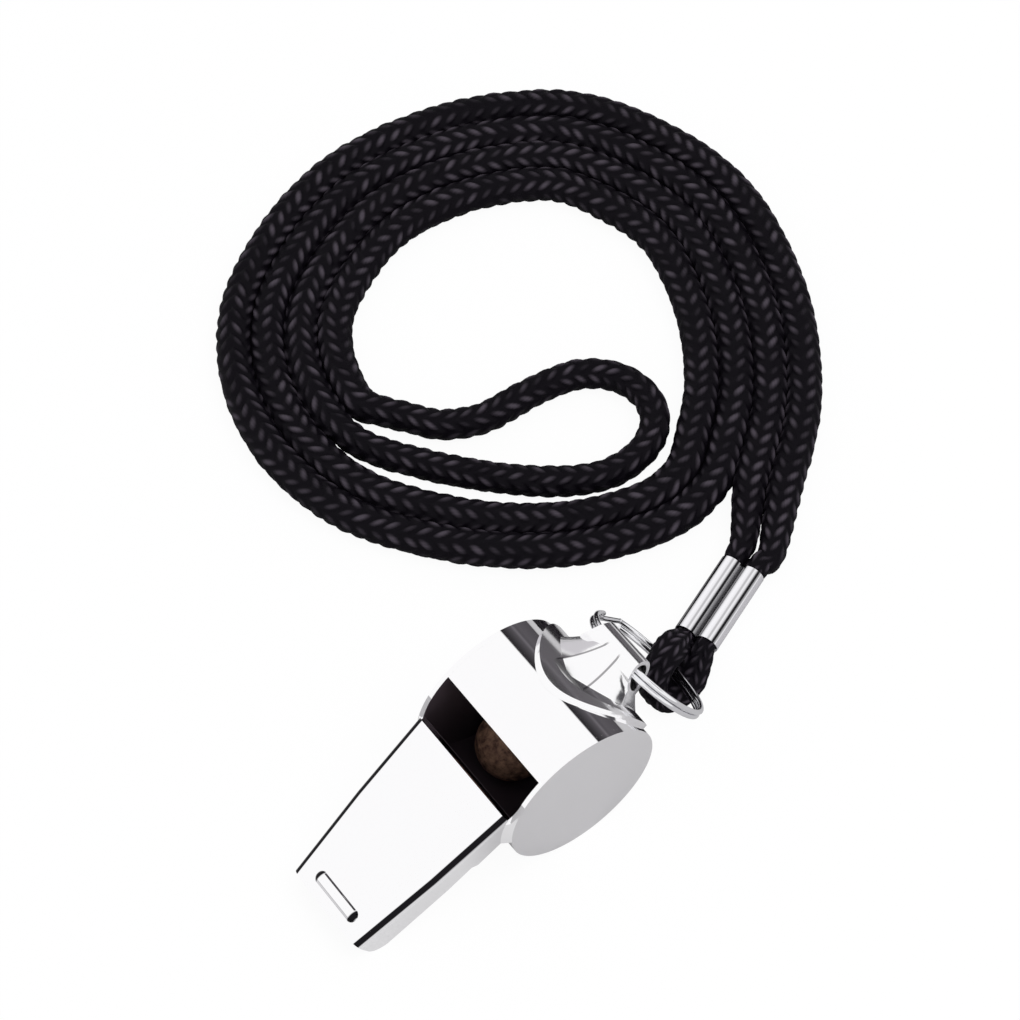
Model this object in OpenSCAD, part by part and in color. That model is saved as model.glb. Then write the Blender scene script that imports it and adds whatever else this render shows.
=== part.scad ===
// Metal pea whistle on a knitted neck cord.
// The whistle rests on its barrel and on the lower lip of its mouth, and the cord lies beside it.
// X runs along the whistle towards the mouth, Y is across it and Z is up.

/* [Barrel] */
// Outside diameter of the barrel
barrel_d = 21; // [19:0.5:24]
// Width of the whistle over its side plates
body_w = 19; // [17.5:0.5:22]
// Thickness of the rolled barrel sheet
shell_t = 0.7; // [0.5:0.1:1]
// Thickness of each side plate
side_t = 0.6; // [0.5:0.1:0.9]

/* [Mouthpiece] */
// Distance from the barrel's axis to the edge of the mouth
mouth_reach = 31.2; // [28:0.2:35]
// Width of the mouth over its sides
mouth_w = 13.1; // [12:0.1:15]
// Height of the mouth, from the cover's top to the lower lip
mouth_h = 5; // [4.6:0.1:5.6]
// Thickness of the cover sheet
cover_t = 0.7; // [0.6:0.1:0.8]
// Radius of the cover's folded long edges
fold_r = 0.9; // [0.8:0.05:1]
// Width of the cover at the window
cover_w = 17.5; // [16.6:0.1:18]
// Width of the mouthpiece at its knee, where the taper grows
knee_w = 15.8; // [15:0.1:16.2]
// Place of the knee between the window and the mouth, as a share
knee_share = 0.49; // [0.3:0.01:0.7]
// Height of the cover's top above the barrel's axis, at the window
cover_rise = 8.9; // [8.6:0.1:9.4]
// Downward slope of the cover, in degrees
cover_slope = 2.5; // [1:0.5:4]
// Radius of the rolled lower lip
lip_r = 2; // [1.6:0.1:2.3]
// Distance that the mouth's edge bows out at its middle
mouth_bow = 0.35; // [0.2:0.05:0.6]

/* [Window] */
// Distance from the barrel's axis to the window's front edge
window_front = 7.4; // [7:0.1:8]
// Angle of the window's rear edge round the barrel, in degrees
window_rear_angle = 83; // [78:1:88]
// Angle of the blowing slot's lip round the barrel, in degrees
slot_angle = 42; // [38:1:44]

/* [Grip bead] */
// Length of the raised bead that the teeth hold
bead_l = 8; // [6:0.5:9]
// Radius of the bead's section
bead_r = 0.95; // [0.8:0.05:1.1]
// Height of the bead above the cover
bead_rise = 0.6; // [0.4:0.05:0.7]
// Distance from the mouth's edge to the bead's middle
bead_inset = 2; // [1.8:0.1:3]

/* [Ring lug] */
// Distance from the barrel's axis to the eye's centre
eye_reach = 14.2; // [13.8:0.1:15.5]
// Bore of the eye
eye_bore_d = 3.2; // [3:0.1:3.6]
// Thickness of the lug's sheet
lug_t = 0.6; // [0.5:0.05:0.7]
// Half of the lug's width at its outer edge
lug_tip_half = 3.3; // [3:0.1:4]
// Radius of the lug's waisted sides
lug_waist_r = 9.3; // [8.5:0.1:10]
// Width of the lug's neck, as a share of its depth
neck_spread = 1.6; // [1.3:0.05:1.7]
// Radius of the lug's round foot on the barrel
lug_foot_r = 8.4; // [7.6:0.1:8.6]
// Angle above the tail at which the lug's neck rises off the foot, in degrees
neck_rise_angle = 35; // [31:1:38]

/* [Pea] */
// Diameter of the cork pea
pea_d = 9; // [8:0.25:10.5]
// Gap between the pea and the barrel sheet that it rests on
pea_gap = 0.1; // [0.05:0.05:0.2]
// Gap between the pea and the left side plate
pea_side_gap = 1.2; // [0.5:0.1:3]
// Angle that the pea lies up the front of the chamber, in degrees
pea_rest_angle = 14; // [0:1:20]

/* [Split ring] */
// Radius of the ring to the middle of its wire
ring_r = 8.6; // [8:0.1:9]
// Diameter of the ring's wire
wire_d = 0.66; // [0.6:0.02:0.9]
// Gap between the ring's two turns
turn_gap = 0.06; // [0.04:0.01:0.1]
// Lean of the ring from upright, in degrees
ring_lean = 31; // [28:1:40]
// Distance from the eye's centre to the wire that passes through it
wire_in_eye = 0.2; // [0.15:0.05:0.4]

/* [Ferrule] */
// Length of the double crimp ferrule
ferrule_l = 11.7; // [9:0.1:14]
// Outside diameter of each of its two tubes
ferrule_d = 3.1; // [2.9:0.1:3.6]
// Wall of the ferrule
ferrule_wall = 0.3; // [0.25:0.05:0.4]
// Distance between the centres of its two tubes
ferrule_pitch = 2.95; // [2.8:0.05:3]

/* [Cord] */
// Diameter of the knitted cord
cord_d = 3.9; // [3.5:0.1:4]
// Gap between neighbouring runs of the cord
run_gap = 0.52; // [0.5:0.02:0.8]
// Gap between the cord's core and the ferrule's wall
core_gap = 0.06; // [0.05:0.01:0.1]

/* [Hidden] */
$fn = 96;

// Overrun of every cut
cut = 1;

// Barrel
barrel_r = barrel_d / 2;
chamber_r = barrel_r - shell_t;
inner_w = body_w - 2 * side_t;

// Mouthpiece, in the whistle's own upright frame
knee_x = window_front + knee_share * (mouth_reach - window_front);
rear_taper = atan((cover_w - knee_w) / 2 / (knee_x - window_front));
front_taper = atan((knee_w - mouth_w) / 2 / (mouth_reach - knee_x));
// How far the step reaches past the cover's edge, as a share of the side sheet
step_share = 11 / 12;
step_r = (body_w - cover_w) / 2 + step_share * side_t;
cover_l = (mouth_reach - window_front) / cos(cover_slope);
cover_under = cover_rise - fold_r;
mouth_top = cover_rise - (mouth_reach - window_front) * tan(cover_slope);
lip_bottom = mouth_top - mouth_h;
bow_r = (pow(mouth_w / 2, 2) + pow(mouth_bow, 2)) / (2 * mouth_bow);

// The floor leaves the barrel where its underside meets the barrel's circle
floor_angle = 31;
floor_start = [barrel_r * cos(floor_angle), barrel_r * sin(floor_angle)];
floor_run = mouth_reach - lip_r - floor_start[0];
floor_slope = atan((floor_start[1] - lip_bottom) / floor_run);
lip_centre = [
    mouth_reach - lip_r,
    floor_start[1] - floor_run * tan(floor_slope) + lip_r / cos(floor_slope)
];
lip_wrap_angle = 62;

// Ramp that narrows the windway down to the slot
ramp_t = 0.5;
ramp_l = 12;

// Side plates: a tab deepens each one where it leaves the disc
tab_drop = 0.7;
tab_l = 5.4;
notch_angle = 60;

// Rest pose: a line touches the barrel and the rolled lip
rest_tilt = atan2(lip_centre[1], lip_centre[0])
    + asin((barrel_r - lip_r) / norm(lip_centre));

// Lug
eye_r = eye_bore_d / 2 + lug_t;
foot_r = barrel_r + lug_t;
neck_half = 0.97 * foot_r * sin(neck_rise_angle);
neck_tuck = 0.1;
tucked_r = eye_r - neck_tuck;
neck_hollow_r = (pow(foot_r, 2) - pow(tucked_r, 2) + pow(eye_reach, 2)
    - 2 * eye_reach * foot_r * cos(neck_rise_angle))
    / (2 * (tucked_r - foot_r + eye_reach * cos(neck_rise_angle)));
hollow_centre = (foot_r + neck_hollow_r) * [sin(neck_rise_angle), cos(neck_rise_angle)];
neck_top = eye_reach
    + tucked_r * (hollow_centre[1] - eye_reach) / (neck_hollow_r + tucked_r);
waist_ahead = 0.9;
waist_x = -(eye_reach + eye_r + waist_ahead);
waist_y = lug_tip_half + lug_waist_r;

// Pea
pea_orbit = chamber_r - pea_d / 2 - pea_gap;
pea_y = -(inner_w / 2 - pea_d / 2 - pea_side_gap);

// Split ring
turn_pitch = wire_d + turn_gap;
ring_step_angle = 22;
ring_end_angle = 4;
knuckle_r = 1.08 * wire_d / 2;
ring_hang = [-sin(ring_lean), 0, -cos(ring_lean)];

// Places in the rest pose, first measured from the barrel's axis and then from the part's origin
function tilted(x, z) = [
    x * cos(rest_tilt) + z * sin(rest_tilt),
    0,
    barrel_r - x * sin(rest_tilt) + z * cos(rest_tilt)
];
front_reach = tilted(mouth_reach + mouth_bow, mouth_top)[0];
back_reach = tilted(-eye_reach, 0)[0]
    + (2 * ring_r - wire_in_eye + wire_d / 2) * ring_hang[0]
    - turn_pitch / 2 * cos(ring_lean);
barrel_x = -(front_reach + back_reach) / 2;
eye_centre = [barrel_x, 0, 0] + tilted(-eye_reach, 0);
ring_centre = eye_centre + (ring_r - wire_in_eye) * ring_hang;

// Ferrule: its lower end and the heading of its tubes, away from the ring
ferrule_end = [-31.6, -2.4, 1.95];
ferrule_heading = 201.5;
ferrule_along = [cos(ferrule_heading), sin(ferrule_heading), 0];
ferrule_across = [sin(ferrule_heading), -cos(ferrule_heading), 0];
bore_r = ferrule_d / 2 - ferrule_wall;

// Cord section
cord_r = cord_d / 2;
cord_sides = 8;
core_r = (bore_r - core_gap) * cos(180 / cord_sides);
crimp_r = ferrule_d / 2 - ferrule_wall / 2;
crimp_gap = 0.15;
crimp_straight = 0.6;
core_l = ferrule_l / 2 - crimp_gap;
run_pitch = cord_d + run_gap;

// One turn of the doubled cord, as points down its middle from the ferrule on
turn_route = [
    [-46.4, -9], [-52.8, -14.4], [-62, -22], [-69.5, -32], [-74.5, -43.5], [-76.5, -55],
    [-74, -66.5], [-69, -76], [-60.5, -82.5], [-50, -86.5], [-38.5, -87.5], [-27.5, -84.5],
    [-17, -78], [-10.5, -68.5], [-8, -57.5], [-9.5, -46.5], [-14.5, -37.5], [-21.5, -29.5],
    [-30, -23.4], [-38.5, -20.3], [-43, -20.1]
];
// The second turn lies two runs further in, and passes this many of the points
inner_turn_points = 14;
// The cord's free end folds back on itself in a long drop shape
drop_route = [
    [-15.6, -51.4], [-19.6, -44.8], [-24.5, -38.6], [-30.5, -32.6], [-37, -28.6], [-43.2, -28.3],
    [-47.4, -30.8], [-48.9, -35], [-47.6, -39.6], [-43.6, -43], [-37, -44.4], [-30.5, -45],
    [-25.6, -47.4], [-22.8, -51]
];
// The loop below the ferrule: over the ring's wire, round and back under it
loop_route = [
    [-29.6, -3.1, 2.65], [-28.4, -2.6, 3.85], [-27.2, -2, 4.7], [-25.9, -1.45, 4.95],
    [-24.6, -1, 4.5], [-23.4, -0.5, 3.55], [-22.7, 0.2, 2.35], [-22.9, 0.9, 1.35],
    [-24.2, 1.15, 0.82], [-26, 1.1, 0.72], [-27.8, 0.75, 0.85], [-29.6, 0.05, 1.45]
];
// Height of the loop's section at each of those points, as a share of the cord's diameter
loop_height_shares = [0.76, 0.74, 0.72, 0.72, 0.74, 0.76, 0.76, 0.6, 0.41, 0.35, 0.42, 0.7];
// Width of the section there, as a share of the same diameter
loop_width_shares = [0.78, 0.86, 0.94, 0.96, 0.98, 1.04, 1.1, 1.14, 1.18, 1.18, 1.06, 0.84];
smooth_steps = 2;

// Point on a smooth curve through four points, at share u of the middle span
function curve_point(a, b, c, d, u) =
    0.5 * (2 * b + (c - a) * u + (2 * a - 5 * b + 4 * c - d) * u * u
    + (3 * b - a - 3 * c + d) * u * u * u);
// Smooth curve through all points, with a number of steps in each span
function smooth_route(points, steps) = concat([
    for (i = [0 : len(points) - 2]) for (k = [0 : steps - 1])
        curve_point(points[max(i - 1, 0)], points[i], points[i + 1],
            points[min(i + 2, len(points) - 1)], k / steps)
], [points[len(points) - 1]]);
function unit(v) = v / norm(v);
function direction(points, i) =
    unit(points[min(i + 1, len(points) - 1)] - points[max(i - 1, 0)]);
// Flat points moved to the left of their direction of travel
function moved_left(points, distance) = [
    for (i = [0 : len(points) - 1])
        let (d = direction(points, i)) points[i] + distance * [-d[1], d[0]]
];
function part_of(points, from, to) = [for (i = [from : to]) points[i]];
function first_two(points) = part_of(points, 0, 1);
function last_two(points) = part_of(points, len(points) - 2, len(points) - 1);
function reversed(points) = [for (i = [len(points) - 1 : -1 : 0]) points[i]];
function raised(points, height) = [for (p = points) [p[0], p[1], height]];
function total(values, i = 0) = i < len(values) ? values[i] + total(values, i + 1) : 0;
function route_length(points) =
    total([for (i = [1 : len(points) - 1]) norm(points[i] - points[i - 1])]);

// Point in the ferrule's frame: along its tubes from the lower end, and across them
function ferrule_point(along, across) =
    ferrule_end + along * ferrule_along + across * ferrule_across;
half_pitch = ferrule_pitch / 2;

// Neck cord: the two runs of each turn lie half a pitch to each side of the doubled cord's middle
fine_turn = smooth_route(turn_route, smooth_steps);
inward_turn = moved_left(fine_turn, 2 * run_pitch);
doubled_route = concat(
    part_of(fine_turn, smooth_steps, len(fine_turn) - 1),
    part_of(inward_turn, smooth_steps, inner_turn_points * smooth_steps)
);
outer_run = raised(moved_left(doubled_route, -run_pitch / 2), cord_r);
inner_run = reversed(raised(moved_left(doubled_route, run_pitch / 2), cord_r));
drop_run = smooth_route(
    concat(last_two(outer_run), raised(drop_route, cord_r), first_two(inner_run)), smooth_steps
);
lead_spread = 1.14;
lead_spread_far = 1.36;
function lead(side) = [
    ferrule_point(ferrule_l + cord_d / 2, side * lead_spread * half_pitch),
    ferrule_point(ferrule_l + cord_d, side * lead_spread_far * half_pitch)
];
neck_free = concat(
    lead(1), outer_run,
    part_of(drop_run, smooth_steps + 1, len(drop_run) - smooth_steps - 2),
    inner_run, reversed(lead(-1))
);
lead_radii = [1.02 * crimp_r, 1.15 * crimp_r];
neck_radii = concat(
    lead_radii, [for (i = [1 : len(neck_free) - 2 * len(lead_radii)]) cord_r], reversed(lead_radii)
);

// Least gap between a cord's surface and itself, past the stretch beside each point
function spot_gap(points, radii, i, j) =
    let (a = points[j], ab = points[j + 1] - a, ap = points[i] - a,
        u = max(0, min(1, ap * ab / (ab * ab))))
    norm(ap - u * ab) - radii[i] - radii[j] - u * (radii[j + 1] - radii[j]);
skipped_points = 5;
function least_gap(points, radii) = min([
    for (i = [0 : len(points) - 1]) for (j = [0 : len(points) - 2])
        if (abs(j - i) >= skipped_points) spot_gap(points, radii, i, j)
]);
echo(least_gap_of_neck_cord = least_gap(neck_free, neck_radii));
echo(length_of_neck_cord = route_length(neck_free));

// Turns a piece from the whistle's upright frame into its rest pose
module rest_pose() {
    translate([barrel_x, 0, barrel_r]) rotate([0, rest_tilt, 0]) children();
}

// Stands a flat outline up in the XZ plane and gives it a width across Y
module across(width) {
    rotate([90, 0, 0]) linear_extrude(width, center = true) children();
}

// Wedge of a disc between two angles
module wedge(radius, from, to) {
    steps = ceil((to - from) / 45);
    far = radius / cos((to - from) / steps / 2) + cut;
    polygon(concat([[0, 0]], [
        for (i = [0 : steps]) let (a = from + (to - from) * i / steps) far * [cos(a), sin(a)]
    ]));
}

module band(outer, inner, from, to) {
    intersection() {
        difference() {
            circle(outer);
            circle(inner);
        }
        wedge(outer, from, to);
    }
}

// Half of the mouthpiece's width at a distance from the barrel's axis
function edge_y(x) = knee_w / 2 + (knee_x - x) * tan(x < knee_x ? rear_taper : front_taper);

function other_side(points) = [for (p = points) [p[0], -p[1]]];

// Space within the side plates' outer faces, less a margin on each side.
// Each face steps in round the disc's rim, from the disc to the narrower mouthpiece.
module side_envelope(margin) {
    edge = [for (x = [0, knee_x, 2 * mouth_reach]) [x, edge_y(x) - margin]];
    linear_extrude(4 * barrel_r, center = true) polygon(concat(edge, reversed(other_side(edge))));
    for (side = [-1, 1]) rotate([-90 * side, 0, 0])
        translate([0, 0, body_w / 2 - margin - step_r])
            cylinder(step_r, barrel_r + step_r, barrel_r);
}

module barrel_shell() {
    color("gainsboro") rest_pose() across(inner_w)
        band(barrel_r, chamber_r, window_rear_angle, 360 + slot_angle);
}

module floor_outline() {
    difference() {
        translate(floor_start) rotate(-floor_slope) translate([-cut, 0])
            square([floor_run / cos(floor_slope) + cut, shell_t]);
        circle(barrel_r);
    }
    translate(lip_centre)
        band(lip_r, lip_r - shell_t, -90 - floor_slope, -90 + lip_wrap_angle);
}

module mouthpiece_floor() {
    color("gainsboro") rest_pose() intersection() {
        across(inner_w) floor_outline();
        side_envelope(side_t);
    }
}

module windway_ramp() {
    slot_lip = barrel_r * [cos(slot_angle), sin(slot_angle)];
    heel_x = slot_lip[0] + ramp_l;
    heel_z = floor_start[1] - (heel_x - floor_start[0]) * tan(floor_slope)
        + shell_t / cos(floor_slope);
    foot_x = heel_x - ramp_t / tan(floor_slope);
    color("gainsboro") rest_pose() intersection() {
        across(inner_w) difference() {
            polygon([
                slot_lip, [heel_x, heel_z], [foot_x, heel_z + (heel_x - foot_x) * tan(floor_slope)],
                slot_lip - [0, ramp_t]
            ]);
            circle(barrel_r);
        }
        side_envelope(side_t);
    }
}

// Section of the cover, with one long edge folded down in a round
module edge_section(width) {
    translate([-width, -cover_t]) square([width - fold_r, cover_t]);
    intersection() {
        translate([-fold_r, -fold_r]) circle(fold_r);
        translate([-fold_r, -fold_r]) square(fold_r);
    }
}

// Right half of the cover: two tapered stretches that meet in a mitre at the knee
module cover_half() {
    knee = (knee_x - window_front) / cos(cover_slope);
    half = knee_w / 2;
    lean = tan((rear_taper + front_taper) / 2);
    mitre = [[knee - half * lean, 0], [knee + cut * lean, half + cut]];
    depth = fold_r + 2 * cut;
    intersection() {
        translate([knee, half, 0]) rotate([0, 0, -rear_taper]) translate([-2 * knee, 0, 0])
            rotate([90, 0, 90]) linear_extrude(3 * knee) edge_section(2 * body_w);
        translate([0, 0, -fold_r - cut]) linear_extrude(depth)
            polygon([[0, 0], mitre[0], mitre[1], [0, body_w / 2]]);
    }
    intersection() {
        translate([knee, half, 0]) rotate([0, 0, -front_taper]) translate([-half, 0, 0])
            rotate([90, 0, 90]) linear_extrude(2 * mouth_reach) edge_section(2 * body_w);
        translate([0, 0, -fold_r - cut]) linear_extrude(depth)
            polygon([mitre[0], [mouth_reach, 0], [mouth_reach, half + cut], mitre[1]]);
    }
}

module grip_bead() {
    reach = bead_l / 2 - bead_r;
    translate([cover_l - bead_inset, 0, bead_rise - bead_r]) rotate([90, 0, 0])
        rotate_extrude() intersection() {
            union() {
                square([2 * bead_r, 2 * reach], center = true);
                for (y = [-reach, reach]) translate([0, y]) circle(bead_r);
            }
            translate([0, -bead_l]) square([bead_r, 2 * bead_l]);
        }
}

module mouthpiece_cover() {
    color("white") rest_pose()
        translate([window_front, 0, cover_rise]) rotate([0, cover_slope, 0]) {
            intersection() {
                union() {
                    cover_half();
                    mirror([0, 1, 0]) cover_half();
                }
                translate([cover_l + mouth_bow - bow_r, 0, -fold_r - cut])
                    cylinder(fold_r + 2 * cut, bow_r, bow_r, $fn = 360);
            }
            difference() {
                grip_bead();
                translate([0, -bead_l, -cover_t - bead_r]) cube([2 * cover_l, 2 * bead_l, bead_r]);
            }
        }
}

// Outline of a side plate's arm, from the disc out to the mouth
module arm_outline() {
    notch = barrel_r * [cos(notch_angle), sin(notch_angle)];
    under = [window_front, cover_under];
    tab_x = floor_start[0] + tab_l;
    function floor_z(x) = floor_start[1] - (x - floor_start[0]) * tan(floor_slope);
    polygon([
        [0, 0], notch, under,
        [mouth_reach, cover_under - (mouth_reach - window_front) * tan(cover_slope)],
        [mouth_reach, lip_centre[1]],
        lip_centre - lip_r * [sin(floor_slope), cos(floor_slope)],
        [tab_x + tab_drop, floor_z(tab_x + tab_drop)], [tab_x, floor_z(tab_x) - tab_drop],
        [floor_start[0], floor_z(floor_start[0]) - tab_drop]
    ]);
    translate(lip_centre) circle(lip_r);
}

module side_plate(side) {
    color("silver") rest_pose() intersection() {
        union() {
            across(2 * body_w) circle(barrel_r);
            across(2 * body_w) arm_outline();
        }
        difference() {
            side_envelope(0);
            side_envelope(side_t);
        }
        translate([-2 * barrel_r, side < 0 ? -body_w : 0, -2 * barrel_r])
            cube([2 * mouth_reach, body_w, 4 * barrel_r]);
    }
}

module left_side_plate() {
    side_plate(-1);
}

module right_side_plate() {
    side_plate(1);
}

// Flared neck of the lug: it narrows in a hollow curve from its round foot to the eye
module lug_neck() {
    scale([1, neck_spread, 1]) rotate([0, -90, 0]) rotate_extrude() difference() {
        translate([0, foot_r / 2]) square([neck_half, neck_top - foot_r / 2]);
        translate(hollow_centre) circle(neck_hollow_r);
    }
}

module ring_lug() {
    color("gainsboro") rest_pose() {
        intersection() {
            across(inner_w) difference() {
                circle(foot_r);
                circle(barrel_r);
            }
            rotate([0, -90, 0]) cylinder(2 * barrel_r, lug_foot_r, lug_foot_r);
        }
        difference() {
            union() {
                lug_neck();
                across(inner_w) translate([-eye_reach, 0]) circle(eye_r);
            }
            across(2 * body_w) circle((barrel_r + foot_r) / 2);
            across(2 * body_w) translate([-eye_reach, 0]) circle(eye_bore_d / 2);
            for (side = [-1, 1]) translate([waist_x, side * waist_y, 0])
                cylinder(4 * eye_r, lug_waist_r, lug_waist_r, center = true, $fn = 180);
        }
    }
}

module cork_pea() {
    color("peru") translate([
        barrel_x + pea_orbit * sin(pea_rest_angle), pea_y,
        barrel_r - pea_orbit * cos(pea_rest_angle)
    ]) sphere(pea_d / 2);
}

// One unbroken wire of two turns: each turn stops short, and a short step joins them
module split_ring() {
    turn_angle = 360 - ring_step_angle - ring_end_angle;
    step_from = [ring_r, 0, -turn_pitch / 2];
    step_to = [ring_r * cos(ring_step_angle), -ring_r * sin(ring_step_angle), turn_pitch / 2];
    step = step_to - step_from;
    color("silver") translate(ring_centre) rotate([0, ring_lean - 90, 0]) rotate([0, 0, -90]) {
        translate([0, 0, -turn_pitch / 2]) rotate_extrude(angle = turn_angle)
            translate([ring_r, 0]) circle(wire_d / 2, $fn = 24);
        translate([0, 0, turn_pitch / 2]) rotate([0, 0, ring_end_angle])
            rotate_extrude(angle = turn_angle) translate([ring_r, 0]) circle(wire_d / 2, $fn = 24);
        translate(step_from) {
            sphere(knuckle_r, $fn = 24);
            rotate([0, acos(step[2] / norm(step)), atan2(step[1], step[0])])
                cylinder(norm(step), wire_d / 2, wire_d / 2, $fn = 24);
        }
        translate(step_to) sphere(knuckle_r, $fn = 24);
    }
}

module ferrule() {
    color("silver") translate(ferrule_end) rotate([0, 90, ferrule_heading]) difference() {
        for (y = [-half_pitch, half_pitch]) translate([0, y, 0])
            cylinder(ferrule_l, ferrule_d / 2, ferrule_d / 2);
        for (y = [-half_pitch, half_pitch]) translate([0, y, -cut])
            cylinder(ferrule_l + 2 * cut, bore_r, bore_r);
    }
}

// Tube swept along points, with half its height and half its width given at each point.
// The width stays as near as it can to the direction that is named for it.
module swept_tube(points, heights, widths, width_direction) {
    n = cord_sides;
    last = len(points) - 1;
    grown = 1 / cos(180 / n);
    rings = [
        for (i = [0 : last]) let (
            d = direction(points, i),
            h = unit(cross(d, width_direction)),
            w = cross(h, d)
        ) for (k = [0 : n - 1]) let (a = 360 * (k + 0.5) / n)
            points[i] + grown * (heights[i] * cos(a) * h + widths[i] * sin(a) * w)
    ];
    sides = [
        for (i = [0 : last - 1]) for (k = [0 : n - 1]) let (
            a = i * n + k, b = i * n + (k + 1) % n, c = a + n, e = b + n
        ) each [[a, b, c], [b, e, c]]
    ];
    caps = [
        for (k = [1 : n - 2]) each [[0, k + 1, k], [last * n, last * n + k, last * n + k + 1]]
    ];
    polyhedron(rings, concat(sides, caps), convexity = 10);
}

module neck_cord() {
    core_at = ferrule_l - core_l;
    function inside(side) = [
        ferrule_point(core_at, side * half_pitch), ferrule_point(ferrule_l, side * half_pitch),
        ferrule_point(ferrule_l + crimp_gap, side * half_pitch),
        ferrule_point(ferrule_l + crimp_straight, side * half_pitch)
    ];
    ends = [core_r, core_r, crimp_r, crimp_r];
    points = concat(inside(1), neck_free, reversed(inside(-1)));
    radii = concat(ends, neck_radii, reversed(ends));
    color("black") swept_tube(points, radii, radii, [0, 0, 1]);
}

module ring_loop() {
    steps = 3;
    function inside(side) = [
        ferrule_point(core_l, side * half_pitch), ferrule_point(0, side * half_pitch),
        ferrule_point(-crimp_gap, side * half_pitch),
        ferrule_point(-crimp_straight, side * half_pitch)
    ];
    ends = [core_r, core_r, crimp_r, crimp_r];
    points = concat(inside(-1), smooth_route(loop_route, steps), reversed(inside(1)));
    heights = smooth_route(loop_height_shares, steps) * cord_r;
    widths = smooth_route(loop_width_shares, steps) * cord_r;
    color("black") swept_tube(points, concat(ends, heights, reversed(ends)),
        concat(ends, widths, reversed(ends)), [0, 1, 0]);
}

barrel_shell();
mouthpiece_floor();
windway_ramp();
mouthpiece_cover();
left_side_plate();
right_side_plate();
ring_lug();
cork_pea();
split_ring();
ferrule();
neck_cord();
ring_loop();
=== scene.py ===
import math

import bpy
import numpy as np
from mathutils import Matrix, Vector


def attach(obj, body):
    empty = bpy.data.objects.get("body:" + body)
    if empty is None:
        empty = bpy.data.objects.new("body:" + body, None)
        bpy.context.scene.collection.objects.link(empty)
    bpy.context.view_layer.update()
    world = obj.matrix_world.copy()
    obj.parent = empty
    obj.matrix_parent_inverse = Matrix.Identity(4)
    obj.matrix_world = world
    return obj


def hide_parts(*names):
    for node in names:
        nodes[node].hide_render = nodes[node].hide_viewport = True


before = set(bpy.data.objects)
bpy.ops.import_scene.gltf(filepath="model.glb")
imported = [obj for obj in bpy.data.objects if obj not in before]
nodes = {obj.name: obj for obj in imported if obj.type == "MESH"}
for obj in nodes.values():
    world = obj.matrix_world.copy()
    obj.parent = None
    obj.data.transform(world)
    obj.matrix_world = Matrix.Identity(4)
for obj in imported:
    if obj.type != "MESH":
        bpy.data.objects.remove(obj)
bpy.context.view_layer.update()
MM = 0.001

# Camera at the photograph's place, in millimetres
CAMERA_PLACE = Vector((103.8, 163.3, 383.9))
CAMERA_RIGHT = Vector((-0.7995, 0.5995, -0.0373))
CAMERA_BACK = Vector((0.2869, 0.4357, 0.8532))
LENS, SENSOR_WIDTH = 123.9, 36
CLIP_NEAR, CLIP_FAR = 10, 20000


def place_object(name, data):
    placed = bpy.data.objects.new(name, data)
    bpy.context.scene.collection.objects.link(placed)
    return placed


def make_camera():
    data = bpy.data.cameras.new("camera")
    data.sensor_fit = "HORIZONTAL"
    data.sensor_width = SENSOR_WIDTH
    data.lens = LENS
    data.clip_start = CLIP_NEAR * MM
    data.clip_end = CLIP_FAR * MM
    camera = place_object("camera", data)
    right = CAMERA_RIGHT.normalized()
    back = (CAMERA_BACK - CAMERA_BACK.dot(right) * right).normalized()
    turn = Matrix((right, back.cross(right), back)).transposed().to_4x4()
    camera.matrix_world = Matrix.Translation(CAMERA_PLACE * MM) @ turn
    bpy.context.scene.camera = camera


make_camera()


# Routes: rows of points, in millimetres
def unit(v):
    return v / np.linalg.norm(v, axis=-1, keepdims=True)


def smooth_route(points, steps):
    """A smooth curve through all the points, with so many steps from each to the next."""
    p = np.asarray(points, float)
    last = len(p) - 1
    out = []
    for i in range(last):
        a, b, c, d = p[max(i - 1, 0)], p[i], p[i + 1], p[min(i + 2, last)]
        for k in range(steps):
            u = k / steps
            out.append(0.5 * (2 * b + (c - a) * u + (2 * a - 5 * b + 4 * c - d) * u * u
                              + (3 * b - a - 3 * c + d) * u ** 3))
    out.append(p[-1])
    return np.array(out)


def directions(points):
    n = len(points)
    ahead = points[np.minimum(np.arange(n) + 1, n - 1)]
    behind = points[np.maximum(np.arange(n) - 1, 0)]
    return unit(ahead - behind)


def moved_left(points, distance):
    d = directions(points)
    return points + distance * np.stack([-d[:, 1], d[:, 0]], 1)


def raised(points, height):
    return np.column_stack([points, np.full(len(points), height)])


def even_steps(points, values, step):
    """The route and the values along it at even steps, and how far along each step is."""
    gaps = np.linalg.norm(np.diff(points, axis=0), axis=1)
    s = np.concatenate([[0], np.cumsum(gaps)])
    at = np.linspace(0, s[-1], int(s[-1] / step) + 1)
    even = np.stack([np.interp(at, s, points[:, k]) for k in range(3)], 1)
    return even, [np.interp(at, s, v) for v in values], at


def carried(values, route, steps):
    """The knots' values, carried over to the smooth route through them."""
    return np.interp(np.arange(len(route)) / steps, np.arange(len(values)), values)


# The cord's route, as in the part's source, in millimetres
FERRULE_END = np.array([-31.6, -2.4, 1.95])
FERRULE_L, FERRULE_PITCH, FERRULE_D, FERRULE_WALL = 11.7, 2.95, 3.1, 0.3
HEADING = math.radians(201.5)
ALONG = np.array([math.cos(HEADING), math.sin(HEADING), 0])
ACROSS = np.array([math.sin(HEADING), -math.cos(HEADING), 0])
CORD_D, RUN_PITCH = 3.9, 4.42
CORD_R = CORD_D / 2
CRIMP_R = FERRULE_D / 2 - FERRULE_WALL / 2
CORE_R = 1.12
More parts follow.
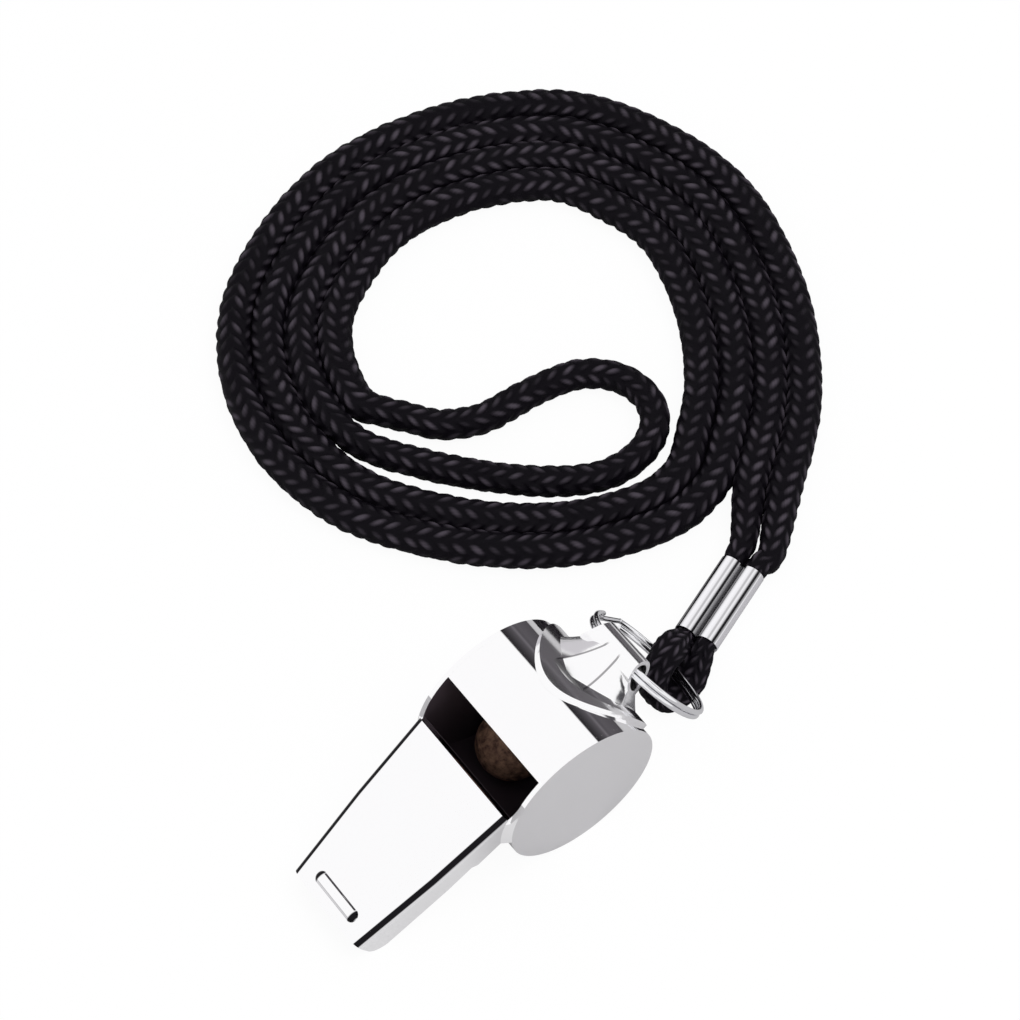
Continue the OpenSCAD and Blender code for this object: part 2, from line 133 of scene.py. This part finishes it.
# Where an end's knots lie, out from the ferrule's mouth, and where the cord spreads past it
END_KNOTS = (-4, -0.05, 0.15, 0.6)
SPREADING = [(CORD_D / 2, 1.14), (CORD_D, 1.36)]
SWELLING = (1, 1.04, 1.12, 1.24)
# Which points of the smoothed turn the second one repeats, and what the drop's ends leave out
TURN_START, TURN_END, DROP_CUT = 2, 29, 3
ROUTE_STEPS = 2
STEPS, LOOP_STEPS = 4, 8
TURN = [
    [-46.4, -9], [-52.8, -14.4], [-62, -22], [-69.5, -32], [-74.5, -43.5], [-76.5, -55],
    [-74, -66.5], [-69, -76], [-60.5, -82.5], [-50, -86.5], [-38.5, -87.5], [-27.5, -84.5],
    [-17, -78], [-10.5, -68.5], [-8, -57.5], [-9.5, -46.5], [-14.5, -37.5], [-21.5, -29.5],
    [-30, -23.4], [-38.5, -20.3], [-43, -20.1]]
DROP = [
    [-15.6, -51.4], [-19.6, -44.8], [-24.5, -38.6], [-30.5, -32.6], [-37, -28.6], [-43.2, -28.3],
    [-47.4, -30.8], [-48.9, -35], [-47.6, -39.6], [-43.6, -43], [-37, -44.4], [-30.5, -45],
    [-25.6, -47.4], [-22.8, -51]]


def ferrule_point(along, across):
    return FERRULE_END + along * ALONG + across * FERRULE_PITCH / 2 * ACROSS


def lead(side):
    return np.array([ferrule_point(FERRULE_L + out, side * spread) for out, spread in SPREADING])


fine = smooth_route(TURN, ROUTE_STEPS)
second_turn = moved_left(fine, 2 * RUN_PITCH)[TURN_START:TURN_END]
lane = np.vstack([fine[TURN_START:], second_turn])
outer_run = raised(moved_left(lane, -RUN_PITCH / 2), CORD_R)
inner_run = raised(moved_left(lane, RUN_PITCH / 2), CORD_R)[::-1]
bend = np.vstack([outer_run[-2:], raised(np.array(DROP, float), CORD_R), inner_run[:2]])
drop = smooth_route(bend, ROUTE_STEPS)[DROP_CUT:-DROP_CUT]
free = np.vstack([lead(1), outer_run, drop, inner_run, lead(-1)[::-1]])

inside = [[ferrule_point(FERRULE_L + d, side) for d in END_KNOTS] for side in (1, -1)]
cord_path = smooth_route(np.vstack([inside[0], free, inside[1][::-1]]), STEPS)
end_radii = [CORE_R, CORE_R] + [CRIMP_R * x for x in SWELLING]
full = [CORD_R] * (len(free) - 2 * len(SPREADING))
radii = np.array(end_radii + full + end_radii[::-1])

# The knit: wales round the cord, a stitch's length, and the mesh's steps, in millimetres
NECK_KNIT = dict(wales=4, stitch=2.1, step=0.17, around=44)
LOOP_KNIT = dict(wales=6, stitch=1.5, step=0.12, around=66)
DEPTH, MEAN_LIFT, MOST_LIFT = 0.5, 0.58, 1.15
SLANT, STAGGER = 0.86, 0.12
# Each hump's start, span and power, across or along a leg
LEG_ARCH, BODY_ARCH, SHINE_ARCH = (0, 1, 1.05), (0.08, 0.88, 0.6), (0.02, 0.94, 2.1)
VALLEY_SHARE = 0.25
SHINE, SHINE_POWER = 0.78, 2.4
PLACE_JITTER, LIFT_JITTER, SHINE_JITTER = 0.09, 0.2, 0.5
# Less depth on the sides, where runs touch, and less painted shine from there down, so the cord's
# underside gets painted shade
SIDE_DEPTH = 0.45
UNDER_SHINE, SHINE_FROM, SHINE_TO = 0.3, -0.25, 0.7
FLOOR_GAP, FLOOR_RELIEF = 0.03, 0.1
SMOOTHINGS = 3
ROWS = 4096
random = np.random.default_rng(7)
jitter = random.uniform(-1, 1, (3, LOOP_KNIT["wales"], ROWS))


def arch(x, start, span, power):
    """A hump over x from 0 to 1."""
    return np.clip(np.sin(math.pi * np.clip(start + span * x, 0, 1)), 0, 1) ** power


def knit(s, angle, wales, stitch):
    """Height of the knitted surface, slanted legs that meet in a V on each wale, and its shine, a
    painted highlight on each leg's middle for the colour.
    """
    turned = angle / (2 * math.pi) * wales
    wale = np.floor(turned).astype(int) % wales
    v = 2 * (turned % 1) - 1
    t = s / stitch - SLANT * np.abs(v) + STAGGER * np.sign(v)
    row = np.floor(t).astype(int)
    along = t - row
    place, rise, gloss = jitter[:, wale, (row + 2 * (v > 0)) % ROWS]
    leg = arch(along + PLACE_JITTER * place * np.sin(math.pi * along), *LEG_ARCH)
    body = VALLEY_SHARE + (1 - VALLEY_SHARE) * arch(np.abs(v), *BODY_ARCH)
    lift = np.clip(leg * body * (1 + LIFT_JITTER * rise), 0, MOST_LIFT)
    middle = arch(np.abs(v), *SHINE_ARCH)
    return lift, leg ** SHINE_POWER * middle * (SHINE + SHINE_JITTER * gloss)


def tube_mesh(name, rings):
    """A closed tube through rings of points, with a cap on each end."""
    count, around = rings.shape[:2]
    ring = np.arange(count - 1)[:, None] * around
    here = np.arange(around)[None, :]
    beside = (here + 1) % around
    quads = np.stack([ring + here, ring + beside, ring + around + beside, ring + around + here], -1)
    quads = quads.reshape(-1, 4)
    caps = [np.arange(around)[::-1], (count - 1) * around + np.arange(around)]
    corners = np.concatenate([quads.ravel(), *caps])
    sizes = np.concatenate([np.full(len(quads), 4), [around, around]])
    starts = np.concatenate([[0], np.cumsum(sizes)[:-1]])
    mesh = bpy.data.meshes.new(name)
    mesh.vertices.add(count * around)
    mesh.vertices.foreach_set("co", (rings * MM).ravel())
    mesh.loops.add(len(corners))
    mesh.loops.foreach_set("vertex_index", corners.astype(np.int32))
    mesh.polygons.add(len(sizes))
    mesh.polygons.foreach_set("loop_start", starts.astype(np.int32))
    mesh.update(calc_edges=True)
    mesh.validate()
    mesh.polygons.foreach_set("use_smooth", np.ones(len(mesh.polygons), bool))
    return mesh


def knitted_tube(name, path, half_widths, half_heights, twist, wales, stitch, step, around,
                 width_direction=None):
    """A tube along the path whose surface is displaced as a knitted cord's."""
    points, (half_w, half_h), s = even_steps(path, [half_widths, half_heights], step)
    d = directions(points)
    for _ in range(SMOOTHINGS):
        d[1:-1] = unit(d[:-2] + 2 * d[1:-1] + d[2:])
    across = np.cross([0, 0, 1.0], d) if width_direction is None else width_direction
    h = unit(np.cross(d, across))
    w = np.cross(h, d)
    a = np.linspace(0, 2 * math.pi, around, endpoint=False)
    grid_s, grid_a = np.meshgrid(s, a, indexing="ij")
    lift, shine = knit(grid_s, (grid_a + twist(grid_s)) % (2 * math.pi), wales, stitch)
    cos_a, sin_a = np.cos(grid_a), np.sin(grid_a)
    upward = cos_a * h[:, 2:] + sin_a * w[:, 2:]
    scale = np.minimum(1, np.minimum(half_w, half_h) / CORD_R)[:, None]
    out = DEPTH * scale * (lift - MEAN_LIFT) * (SIDE_DEPTH + (1 - SIDE_DEPTH) * upward * upward)
    rise = (half_h[:, None] + out) * cos_a
    side = (half_w[:, None] + out) * sin_a
    rings = points[:, None, :] + rise[..., None] * h[:, None, :] + side[..., None] * w[:, None, :]
    rings[..., 2] = np.maximum(rings[..., 2], FLOOR_GAP + FLOOR_RELIEF * lift)
    mesh = tube_mesh(name, rings)
    # Painted shine for the colour: highlights on the legs' middles, fading into painted shade
    # towards the cord's underside
    top = np.clip((upward - SHINE_FROM) / (SHINE_TO - SHINE_FROM), 0, 1)
    painted_shine = shine * (UNDER_SHINE + (1 - UNDER_SHINE) * top * top * (3 - 2 * top))
    shade = mesh.attributes.new("knit", "FLOAT", "POINT")
    shade.data.foreach_set("value", painted_shine.ravel().astype(np.float32))
    return place_object(name, mesh)


# Nodes of a material or of the world
def new_material(name):
    material = bpy.data.materials.new(name)
    material.use_nodes = True
    tree = material.node_tree
    tree.nodes.clear()
    return material, tree, tree.nodes.new("ShaderNodeOutputMaterial")


def add(tree, kind, **values):
    """A node with its settings, and its inputs by name."""
    node = tree.nodes.new(kind)
    for key, value in values.items():
        if hasattr(node, key):
            setattr(node, key, value)
        else:
            node.inputs[key].default_value = value
    return node


def give(tree, socket, value):
    """Links a socket to the value if that is a socket too, and otherwise sets it."""
    if isinstance(value, bpy.types.NodeSocket):
        tree.links.new(value, socket)
    else:
        socket.default_value = value


def coordinate(tree, kind):
    return tree.nodes.new("ShaderNodeTexCoord").outputs[kind]


def axes(tree, vector):
    node = tree.nodes.new("ShaderNodeSeparateXYZ")
    tree.links.new(vector, node.inputs[0])
    return node.outputs


def math_node(tree, operation, *values):
    node = add(tree, "ShaderNodeMath", operation=operation)
    for socket, value in zip(node.inputs, values):
        give(tree, socket, value)
    return node.outputs[0]


def vector_node(tree, operation, *values):
    node = add(tree, "ShaderNodeVectorMath", operation=operation)
    for socket, value in zip(node.inputs, values):
        give(tree, socket, value)
    return node.outputs["Value" if operation in ("LENGTH", "DOT_PRODUCT") else "Vector"]


def product(tree, *values):
    result = values[0]
    for value in values[1:]:
        result = math_node(tree, "MULTIPLY", result, value)
    return result


def step_at(tree, value, place, soft):
    """0 before a place and 1 past it, with a soft step between."""
    node = add(tree, "ShaderNodeMapRange", interpolation_type="SMOOTHSTEP")
    node.inputs["From Min"].default_value = place - soft
    node.inputs["From Max"].default_value = place + soft
    tree.links.new(value, node.inputs["Value"])
    return node.outputs["Result"]


def within(tree, value, low, high, soft):
    """1 between two places and 0 outside them, with soft steps."""
    short_of_high = math_node(tree, "SUBTRACT", 1.0, step_at(tree, value, high, soft))
    return product(tree, step_at(tree, value, low, soft), short_of_high)


def ramp(tree, share, stops):
    """Colours over a share from 0 to 1, each stop a place and a colour."""
    node = tree.nodes.new("ShaderNodeValToRGB")
    tree.links.new(share, node.inputs["Fac"])
    while len(node.color_ramp.elements) < len(stops):
        node.color_ramp.elements.new(0.5)
    for element, (place, color) in zip(node.color_ramp.elements, stops):
        element.position = place
        element.color = (*color, 1)
    return node.outputs["Color"]


def tinted(levels, tint):
    """Grey stops, given as places and levels, in a tint."""
    return [(place, [level * part for part in tint]) for place, level in levels]


def mix_colors(tree, weight, under, over):
    node = add(tree, "ShaderNodeMix", data_type="RGBA")
    tree.links.new(weight, node.inputs[0])
    sockets = [i for i in node.inputs if i.type == "RGBA"]
    for socket, value in zip(sockets, (under, over)):
        give(tree, socket, value)
    return [o for o in node.outputs if o.type == "RGBA"][0]


def mix_shaders(tree, weight, under, over):
    node = tree.nodes.new("ShaderNodeMixShader")
    for socket, value in zip(node.inputs, (weight, under, over)):
        tree.links.new(value, socket)
    return node.outputs[0]


def principled(tree, color, metallic, roughness):
    return add(tree, "ShaderNodeBsdfPrincipled",
               **{"Base Color": (*color, 1), "Metallic": metallic, "Roughness": roughness})


# Knitted black polyester
KNIT_COLOR = (0.02, 0.02, 0.022)
# The knit attribute's painted shine turns into colour here: painted shade at the low stop, painted
# highlights at the high stop
KNIT_SHINE_STOPS = [(0.12, (0.003, 0.0022, 0.004)), (0.95, (0.064, 0.054, 0.069))]
KNIT_ROUGHNESS, KNIT_SPECULAR = 0.55, 0.07


def make_knit_material():
    material, tree, output = new_material("black_knit")
    shader = principled(tree, KNIT_COLOR, 0, KNIT_ROUGHNESS)
    shader.inputs["Specular IOR Level"].default_value = KNIT_SPECULAR
    shine = add(tree, "ShaderNodeAttribute", attribute_name="knit").outputs["Fac"]
    tree.links.new(ramp(tree, shine, KNIT_SHINE_STOPS), shader.inputs["Base Color"])
    tree.links.new(shader.outputs[0], output.inputs["Surface"])
    return material


knit_material = make_knit_material()

# The neck cord, wider where its runs lie side by side and touch
TOUCHING_R = 2.33
# Slow turns of the knit round the cord: height in radians, millimetres to a radian, phase
TWIST_WAVES = [(0.9, 61, 0), (0.5, 23, 1)]


def neck_twist(s):
    return sum(turn * np.sin(s / length + phase) for turn, length, phase in TWIST_WAVES)


run_widths = radii.copy()
ends = len(end_radii)
run_widths[ends:ends + len(outer_run)] = TOUCHING_R
run_widths[-ends - len(inner_run):-ends] = TOUCHING_R
neck = knitted_tube("neck_cord_knit", cord_path, carried(run_widths, cord_path, STEPS),
                    carried(radii, cord_path, STEPS), neck_twist, **NECK_KNIT)

# The short loop through the split ring, pressed flat where it passes under the ring
LOOP = [
    [-29.6, -3.1, 2.65], [-28.4, -2.6, 3.85], [-27.2, -2, 4.7], [-25.9, -1.45, 4.95],
    [-24.6, -1, 4.5], [-23.4, -0.5, 3.55], [-22.7, 0.2, 2.35], [-22.9, 0.9, 1.35],
    [-24.2, 1.15, 0.82], [-26, 1.1, 0.72], [-27.8, 0.75, 0.85], [-29.6, 0.05, 1.45]]
LOOP_HEIGHTS = [0.76, 0.74, 0.72, 0.72, 0.74, 0.76, 0.76, 0.59, 0.385, 0.32, 0.39, 0.7]
LOOP_WIDTHS = [0.86, 1.02, 1.08, 1.04, 1.0, 1.04, 1.1, 1.22, 1.32, 1.38, 1.32, 1.08]
LOOP_TURN = 0.3

loop_inside = [[ferrule_point(-d, side) for d in END_KNOTS] for side in (-1, 1)]
loop_path = smooth_route(np.vstack([loop_inside[0], LOOP, loop_inside[1][::-1]]), LOOP_STEPS)


def loop_halves(shares):
    crimped = [CORE_R, CORE_R, CRIMP_R, CRIMP_R]
    halves = crimped + [CORD_R * x for x in shares] + crimped[::-1]
    return carried(halves, loop_path, LOOP_STEPS)


loop = knitted_tube("ring_loop_knit", loop_path, loop_halves(LOOP_WIDTHS),
                    loop_halves(LOOP_HEIGHTS), lambda s: LOOP_TURN, **LOOP_KNIT,
                    width_direction=np.array([0, 1.0, 0]))

for piece, node in ((neck, "neck_cord"), (loop, "ring_loop")):
    piece.data.materials.append(knit_material)
    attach(piece, "lanyard")
    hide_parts(node)

# Polished metal, dull and dark on the sheets' inner faces; the dark colour there is painted shade
PLATING, PLATING_ROUGHNESS = (0.965, 0.96, 0.97), 0.045
DULL_SHADE, DULL_METALLIC, DULL_ROUGHNESS = (0.10, 0.075, 0.09), 0.6, 0.55
BARREL_CENTRE = (-4.902, 0, 10.5)
CHAMBER_R, CHAMBER_MARGIN = 9.8, 0.05
FACING = 0.6


def place_in_mm(tree):
    return vector_node(tree, "MULTIPLY", coordinate(tree, "Object"), (1 / MM, 1 / MM, 1 / MM))


def in_chamber(tree):
    """1 on the barrel's inner face, by the distance from its axis."""
    offset = vector_node(tree, "SUBTRACT", place_in_mm(tree), BARREL_CENTRE)
    from_axis = vector_node(tree, "LENGTH", vector_node(tree, "MULTIPLY", offset, (1, 0, 1)))
    return math_node(tree, "LESS_THAN", from_axis, CHAMBER_R + CHAMBER_MARGIN)


def facing(direction):
    """A test that gives 1 on the faces that look in a direction."""
    def test(tree):
        aligned = vector_node(tree, "DOT_PRODUCT", coordinate(tree, "Normal"), direction)
        return math_node(tree, "GREATER_THAN", aligned, FACING)
    return test


def metal(name, color=PLATING, roughness=PLATING_ROUGHNESS, dull_shaded_where=None):
    material, tree, output = new_material(name)
    surface = principled(tree, color, 1, roughness).outputs[0]
    if dull_shaded_where:
        dull = principled(tree, DULL_SHADE, DULL_METALLIC, DULL_ROUGHNESS).outputs[0]
        surface = mix_shaders(tree, dull_shaded_where(tree), surface, dull)
    tree.links.new(surface, output.inputs["Surface"])
    return material


def dress(node, material):
    data = nodes[node].data
    data.materials.clear()
    data.materials.append(material)


# The mouthpiece's sheets lean by about this angle
LEAN = math.radians(26.17)
UNDER = (-math.sin(LEAN), 0, -math.cos(LEAN))
OVER = (math.sin(LEAN), 0, math.cos(LEAN))
cover_material = metal("plated_cover", dull_shaded_where=facing(UNDER))
lug_material = metal("plated_lug", roughness=0.13)
ferrule_material = metal("plated_ferrule", (0.82, 0.82, 0.84), 0.12)
dress("barrel_shell", metal("plated_barrel", dull_shaded_where=in_chamber))
dress("left_side_plate", metal("plated_left", dull_shaded_where=facing((0, 1, 0))))
dress("right_side_plate", metal("plated_right", dull_shaded_where=facing((0, -1, 0))))
dress("mouthpiece_cover", cover_material)
dress("mouthpiece_floor", metal("plated_floor", dull_shaded_where=facing(OVER)))
dress("windway_ramp", metal("plated_ramp", (0.12, 0.11, 0.11), 0.4))
dress("ring_lug", lug_material)
dress("split_ring", metal("plated_ring", (0.86, 0.86, 0.88), 0.08))
dress("ferrule", ferrule_material)

# Cork, with dark pores
CORK_COLOR = (0.3, 0.16, 0.1)
CORK_STOPS = [(0.38, (0.10, 0.045, 0.03)), (0.62, (0.42, 0.24, 0.16))]
CORK_ROUGHNESS, CORK_SCALE, CORK_DETAIL, CORK_GRAIN = 0.8, 900.0, 6.0, 0.65
CORK_BUMP, CORK_BUMP_HEIGHT = 0.6, 0.2


def make_cork():
    material, tree, output = new_material("cork")
    shader = principled(tree, CORK_COLOR, 0, CORK_ROUGHNESS)
    noise = add(tree, "ShaderNodeTexNoise", Scale=CORK_SCALE, Detail=CORK_DETAIL,
                Roughness=CORK_GRAIN)
    tree.links.new(coordinate(tree, "Object"), noise.inputs["Vector"])
    tree.links.new(ramp(tree, noise.outputs["Fac"], CORK_STOPS), shader.inputs["Base Color"])
    bump = add(tree, "ShaderNodeBump", Strength=CORK_BUMP, Distance=CORK_BUMP_HEIGHT * MM)
    tree.links.new(noise.outputs["Fac"], bump.inputs["Height"])
    tree.links.new(bump.outputs[0], shader.inputs["Normal"])
    tree.links.new(shader.outputs[0], output.inputs["Surface"])
    return material


dress("cork_pea", make_cork())


# Lines and bands of painted reflection and painted shade, drawn in the plating's colour
def bright_plate(material):
    return [node for node in material.node_tree.nodes
            if node.type == "BSDF_PRINCIPLED" and node.inputs["Metallic"].default_value == 1][0]


def darken(material, weight, color):
    """Mixes a darker colour into the plating by a weight."""
    tree, base = material.node_tree, bright_plate(material).inputs["Base Color"]
    tree.links.new(mix_colors(tree, weight, tuple(base.default_value), (*color, 1)), base)


# The cover's folded edges and the ends of its bead hold a thin, dark painted reflection, by how far
# they turn
FOLD_FROM, FOLD_TO, FOLD_SOFT = 0.15, 0.84, 0.05
FOLD_REFLECTION_COLOR = (0.012, 0.011, 0.013)


def draw_fold_reflections(material):
    tree = material.node_tree
    turned_aside = math_node(tree, "ABSOLUTE", axes(tree, coordinate(tree, "Normal"))["Y"])
    darken(material, within(tree, turned_aside, FOLD_FROM, FOLD_TO, FOLD_SOFT), FOLD_REFLECTION_COLOR)


draw_fold_reflections(cover_material)

# Two pressed lines run along the lug's top, from its foot in towards the eye, in millimetres; they
# are drawn as painted crease shade in the plating's colour, not in the shape
LINE_START, LINE_END, LINE_FADE = -17.0, -10.6, 0.3
LINE_Y, LINE_IN = 2.6, 0.236
LINE_HALF, LINE_SOFT = 0.13, 0.05
LINE_Z, LINE_Z_SOFT = 17.3, 0.3
CREASE_SHADE_COLOR, CREASE_SHADE_WEIGHT = (0.1, 0.09, 0.1), 0.7
# The pad between the foot's rim and the eye lies flatter than the foot, so it looks up
PAD_START, PAD_START_SOFT = -15.2, 0.5
PAD_EDGE, PAD_EDGE_SOFT, PAD_ROUND = -9.7, 0.1, 0.07
PAD_Z, PAD_Z_SOFT = 17.05, 0.55
PAD_TILT = 0.24


def draw_lug(material):
    tree = material.node_tree
    x, y, z = axes(tree, place_in_mm(tree))
    line_y = math_node(tree, "MULTIPLY_ADD", x, LINE_IN, LINE_Y - LINE_END * LINE_IN)
    off_line = math_node(tree, "SUBTRACT", math_node(tree, "ABSOLUTE", y), line_y)
    line = product(tree, within(tree, off_line, -LINE_HALF, LINE_HALF, LINE_SOFT),
                   within(tree, x, LINE_START, LINE_END, LINE_FADE),
                   step_at(tree, z, LINE_Z, LINE_Z_SOFT), CREASE_SHADE_WEIGHT)
    darken(material, line, CREASE_SHADE_COLOR)

    y_squared = math_node(tree, "MULTIPLY", y, y)
    edge_x = math_node(tree, "MULTIPLY_ADD", y_squared, -PAD_ROUND, PAD_EDGE)
    short_of_edge = step_at(tree, math_node(tree, "SUBTRACT", edge_x, x), 0, PAD_EDGE_SOFT)
    past_left_line = step_at(tree, math_node(tree, "ADD", y, line_y), 0, LINE_SOFT)
    pad = product(tree, short_of_edge, step_at(tree, x, PAD_START, PAD_START_SOFT),
                  past_left_line, step_at(tree, z, PAD_Z, PAD_Z_SOFT), PAD_TILT)
    tilt = tree.nodes.new("ShaderNodeCombineXYZ")
    tree.links.new(pad, tilt.inputs["X"])
    normal = tree.nodes.new("ShaderNodeNewGeometry").outputs["Normal"]
    tilted = vector_node(tree, "NORMALIZE", vector_node(tree, "ADD", normal, tilt.outputs[0]))
    tree.links.new(tilted, bright_plate(material).inputs["Normal"])


draw_lug(lug_material)

# Painted reflections round each of the ferrule's tubes, light and dark bands by degrees from the
# side up to the top
TUBE_REFLECTIONS = [(-20, 0.95), (8, 1.0), (30, 1.0), (40, 0.9), (46, 0.4), (54, 0.2), (62, 0.25),
                (69, 0.8), (76, 1.0), (81, 0.6), (86, 0.55), (92, 0.95), (106, 1.05), (115, 0.95),
                (123, 0.55), (136, 0.3), (152, 0.08), (175, 0.05)]
STREAK_START, STREAK_SPAN = -40, 240
REFLECTION_TINT = (0.9, 0.89, 0.92)


def draw_tube_reflections(material):
    tree = material.node_tree
    place = place_in_mm(tree)
    sideways = vector_node(tree, "DOT_PRODUCT", place, tuple(ACROSS))
    off_middle = math_node(tree, "SUBTRACT", sideways, float(FERRULE_END @ ACROSS))
    tube = math_node(tree, "MULTIPLY", math_node(tree, "SIGN", off_middle), FERRULE_PITCH / 2)
    above = math_node(tree, "SUBTRACT", axes(tree, place)["Z"], float(FERRULE_END[2]))
    turned = math_node(tree, "ARCTAN2", above, math_node(tree, "SUBTRACT", off_middle, tube))
    share = math_node(tree, "MULTIPLY_ADD", turned, math.degrees(1) / STREAK_SPAN,
                      -STREAK_START / STREAK_SPAN)
    levels = [((degrees - STREAK_START) / STREAK_SPAN, level) for degrees, level in TUBE_REFLECTIONS]
    reflections = ramp(tree, share, tinted(levels, REFLECTION_TINT))
    tree.links.new(reflections, bright_plate(material).inputs["Base Color"])


draw_tube_reflections(ferrule_material)

# Floor: pale, nearly white to the camera with a tenth of the object's own shade left in
WHITE = (1, 1, 1, 1)
FLOOR_HALF = 3
FLOOR_COLOR = (0.54, 0.535, 0.545, 1)
FLOOR_GLOW, FLOOR_GLOW_SHARE = 1.05, 0.9
# A glowing patch of floor on each side of the mouthpiece, seen by the metal alone, paints a
# brighter reflection there, in metres
PATCH_X, PATCH_Y, PATCH_SOFT, PATCH_WEIGHT = (0.007, 0.04), (0.002, 0.03), 0.004, 0.36


def make_floor():
    mesh = bpy.data.meshes.new("floor")
    corners = [(-1, -1), (1, -1), (1, 1), (-1, 1)]
    mesh.from_pydata([(x * FLOOR_HALF, y * FLOOR_HALF, 0) for x, y in corners], [], [(0, 1, 2, 3)])
    floor = place_object("floor", mesh)
    material, tree, output = new_material("floor")
    rays = tree.nodes.new("ShaderNodeLightPath").outputs
    pale = add(tree, "ShaderNodeBsdfDiffuse", Color=FLOOR_COLOR).outputs[0]
    white = add(tree, "ShaderNodeEmission", Strength=FLOOR_GLOW).outputs[0]
    surface = mix_shaders(tree, product(tree, rays["Is Camera Ray"], FLOOR_GLOW_SHARE), pale, white)
    place = axes(tree, tree.nodes.new("ShaderNodeNewGeometry").outputs["Position"])
    aside = math_node(tree, "ABSOLUTE", place["Y"])
    patch = product(tree, within(tree, place["X"], *PATCH_X, PATCH_SOFT),
                    within(tree, aside, *PATCH_Y, PATCH_SOFT), PATCH_WEIGHT, rays["Is Glossy Ray"])
    lit = add(tree, "ShaderNodeEmission", Color=WHITE).outputs[0]
    tree.links.new(mix_shaders(tree, patch, surface, lit), output.inputs["Surface"])
    mesh.materials.append(material)


make_floor()

# The studio's grey cards, seen in the metal alone: sector, softness, lowest and highest height
BELOW_ALL = -2
PALE_CARD = ((-139, -104), 2, BELOW_ALL, 0.5)
REAR_CARD = ((-160, -141), 2, BELOW_ALL, 0.655)
BACK_CARD = ((131, 150), 3, 0.42, 0.72)
CARD_HEIGHT_SOFT = 0.012
PALE_COLOR, BACK_COLOR = (0.6, 0.585, 0.61, 1), (0.045, 0.042, 0.048, 1)
REAR_GREYS = [(0.0, 0.075), (0.3, 0.1), (0.37, 0.085), (0.42, 0.15), (0.47, 0.085), (0.56, 0.05),
              (0.64, 0.02)]
REAR_TINT = (1, 0.93, 1.03)
LIGHT_LEVEL = 0.75


def make_world():
    """A plain level of light, white to the camera, and white with the cards to the metal."""
    world = bpy.data.worlds.new("world")
    bpy.context.scene.world = world
    world.use_nodes = True
    tree = world.node_tree
    tree.nodes.clear()
    rays = tree.nodes.new("ShaderNodeLightPath").outputs
    x, y, height = axes(tree, coordinate(tree, "Generated"))
    azimuth = product(tree, math_node(tree, "ARCTAN2", y, x), math.degrees(1))

    def card(sector, soft, bottom, top):
        """1 in a sector in degrees from +X towards +Y, between two heights, where 1 is overhead."""
        return product(tree, within(tree, azimuth, *sector, soft),
                       within(tree, height, bottom, top, CARD_HEIGHT_SOFT), rays["Is Glossy Ray"])

    greys = ramp(tree, height, tinted(REAR_GREYS, REAR_TINT))
    color = mix_colors(tree, card(*PALE_CARD), WHITE, PALE_COLOR)
    color = mix_colors(tree, card(*REAR_CARD), color, greys)
    color = mix_colors(tree, card(*BACK_CARD), color, BACK_COLOR)
    light = add(tree, "ShaderNodeBackground", Color=WHITE, Strength=LIGHT_LEVEL)
    seen = tree.nodes.new("ShaderNodeBackground")
    tree.links.new(color, seen.inputs["Color"])
    mirrored = math_node(tree, "MAXIMUM", rays["Is Glossy Ray"], rays["Is Transmission Ray"])
    directly = math_node(tree, "MAXIMUM", rays["Is Camera Ray"], mirrored)
    output = tree.nodes.new("ShaderNodeOutputWorld")
    tree.links.new(mix_shaders(tree, directly, light.outputs[0], seen.outputs[0]),
                   output.inputs["Surface"])


make_world()

# Soft key light from above, which the metal doesn't mirror
KEY_PLACE = Vector((-0.25, 0.35, 0.9))
KEY_SIZE, KEY_POWER = 0.7, 3.5


def make_key():
    data = bpy.data.lights.new("key", "AREA")
    data.shape = "DISK"
    data.size = KEY_SIZE
    data.energy = KEY_POWER
    key = place_object("key", data)
    key.location = KEY_PLACE
    key.rotation_euler = (-KEY_PLACE).to_track_quat("-Z", "Y").to_euler()
    key.visible_glossy = False


make_key()
bpy.context.scene.view_settings.view_transform = "Standard"
